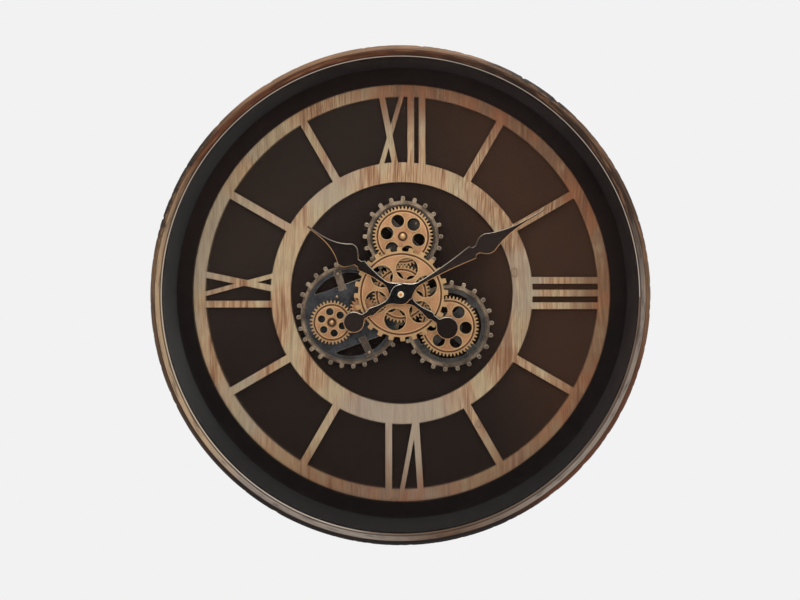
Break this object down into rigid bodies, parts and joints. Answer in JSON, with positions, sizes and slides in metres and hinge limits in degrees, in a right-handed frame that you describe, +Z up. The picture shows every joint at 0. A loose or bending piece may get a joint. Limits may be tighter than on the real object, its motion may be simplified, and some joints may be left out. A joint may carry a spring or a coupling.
{
  "type": "wall clock",
  "caption": "Round glazed wall clock with an openwork wooden dial, toothed antique plates and a meshing gear train turning behind black hands.",
  "frame": {"origin": "centre of the keyhole hanger's round hole, in the rear plane that lies against the wall", "axes": "+Z up, +Y back into the wall along the hands' axis, the clock faces -Y, +X to the viewer's right"},
  "size_m": [0.6, 0.08, 0.6],
  "materials": {
    "frame_wood": "distressed brown stain",
    "glass": "clear",
    "liner_black": "matte",
    "board_brown": "dark stained fibreboard",
    "pine": "oiled",
    "antique": "antique silver, worn",
    "gold_gear": "satin antique gold",
    "copper_gear": "satin antique copper",
    "dark_metal": "dark bronze",
    "hand_black": "satin black, bright bevelled edge",
    "brass": "satin",
    "nut_white": "gloss",
    "steel": "zinc plated",
    "plastic_black": "moulded",
    "cell": "plain jacket"
  },
  "bodies": {
    "case": {"frame_ring": "frame_wood", "glass": "glass", "liner": "liner_black", "back_board": "board_brown", "dial": "pine", "left_plate": "antique", "top_plate": "antique", "right_plate": "antique", "left_pillars": "dark_metal", "top_pillars": "dark_metal", "right_pillars": "dark_metal", "plate_screws": "antique", "left_axle": "gold_gear", "idler_axle": "gold_gear", "right_axle": "gold_gear", "axle_spacers": "dark_metal", "right_spacer": "dark_metal", "dome_washers": "dark_metal", "movement_box": "plastic_black", "bushing": "brass", "bushing_washer": "brass", "bushing_nut": "brass", "bushing_collar": "brass", "hub_ring": "steel", "movement_cell": "cell", "motor_box": "plastic_black", "motor_cell": "cell", "cell_springs": "steel", "cell_studs": "steel", "motor_screws": "steel", "hanger": "steel", "hanger_screws": "steel", "brackets": "steel", "bracket_screws": "steel", "wall_screws": "steel"},
    "centre_train": {"centre_hub": "copper_gear", "fine_gear": "copper_gear", "front_gear": "gold_gear"},
    "top_train": {"top_gear": "gold_gear", "top_shaft": "steel", "top_dome": "gold_gear"},
    "right_train": {"right_gear": "gold_gear"},
    "idler_train": {"idler_gear": "copper_gear"},
    "left_train": {"left_gear": "gold_gear"},
    "hour": {"hour_hand": "hand_black", "hour_tube": "brass"},
    "minute": {"minute_hand": "hand_black", "minute_shaft": "brass", "hand_nut": "nut_white"},
    "setter": {"set_knob": "plastic_black"}
  },
  "joints": [
    {"name": "centre_spin", "type": "hinge", "parent": "case", "child": "centre_train", "pos_m": [0, -0.048, -0.255], "axis": [0, 1, 0], "continuous": true},
    {"name": "top_spin", "type": "hinge", "parent": "case", "child": "top_train", "pos_m": [0.00186, -0.044, -0.18397], "axis": [0, 1, 0], "continuous": true},
    {"name": "right_spin", "type": "hinge", "parent": "case", "child": "right_train", "pos_m": [0.05862, -0.044, -0.29514], "axis": [0, 1, 0], "continuous": true},
    {"name": "idler_spin", "type": "hinge", "parent": "case", "child": "idler_train", "pos_m": [-0.04692, -0.044, -0.27434], "axis": [0, 1, 0], "continuous": true},
    {"name": "left_spin", "type": "hinge", "parent": "case", "child": "left_train", "pos_m": [-0.0858, -0.044, -0.29036], "axis": [0, 1, 0], "continuous": true},
    {"name": "minute_spin", "type": "hinge", "parent": "case", "child": "minute", "pos_m": [0, -0.06, -0.255], "axis": [0, 1, 0], "continuous": true},
    {"name": "hour_spin", "type": "hinge", "parent": "case", "child": "hour", "pos_m": [0, -0.057, -0.255], "axis": [0, 1, 0], "continuous": true},
    {"name": "setter_spin", "type": "hinge", "parent": "case", "child": "setter", "pos_m": [0, -0.002, -0.239], "axis": [0, 1, 0], "continuous": true}
  ],
  "couplings": [
    {"joint": "top_spin", "follows": "centre_spin", "ratio": -0.96},
    {"joint": "right_spin", "follows": "centre_spin", "ratio": -0.96},
    {"joint": "idler_spin", "follows": "centre_spin", "ratio": -2.1818},
    {"joint": "left_spin", "follows": "centre_spin", "ratio": 1.3333},
    {"joint": "hour_spin", "follows": "minute_spin", "ratio": 0.083333},
    {"joint": "setter_spin", "follows": "minute_spin", "ratio": -1}
  ]
}
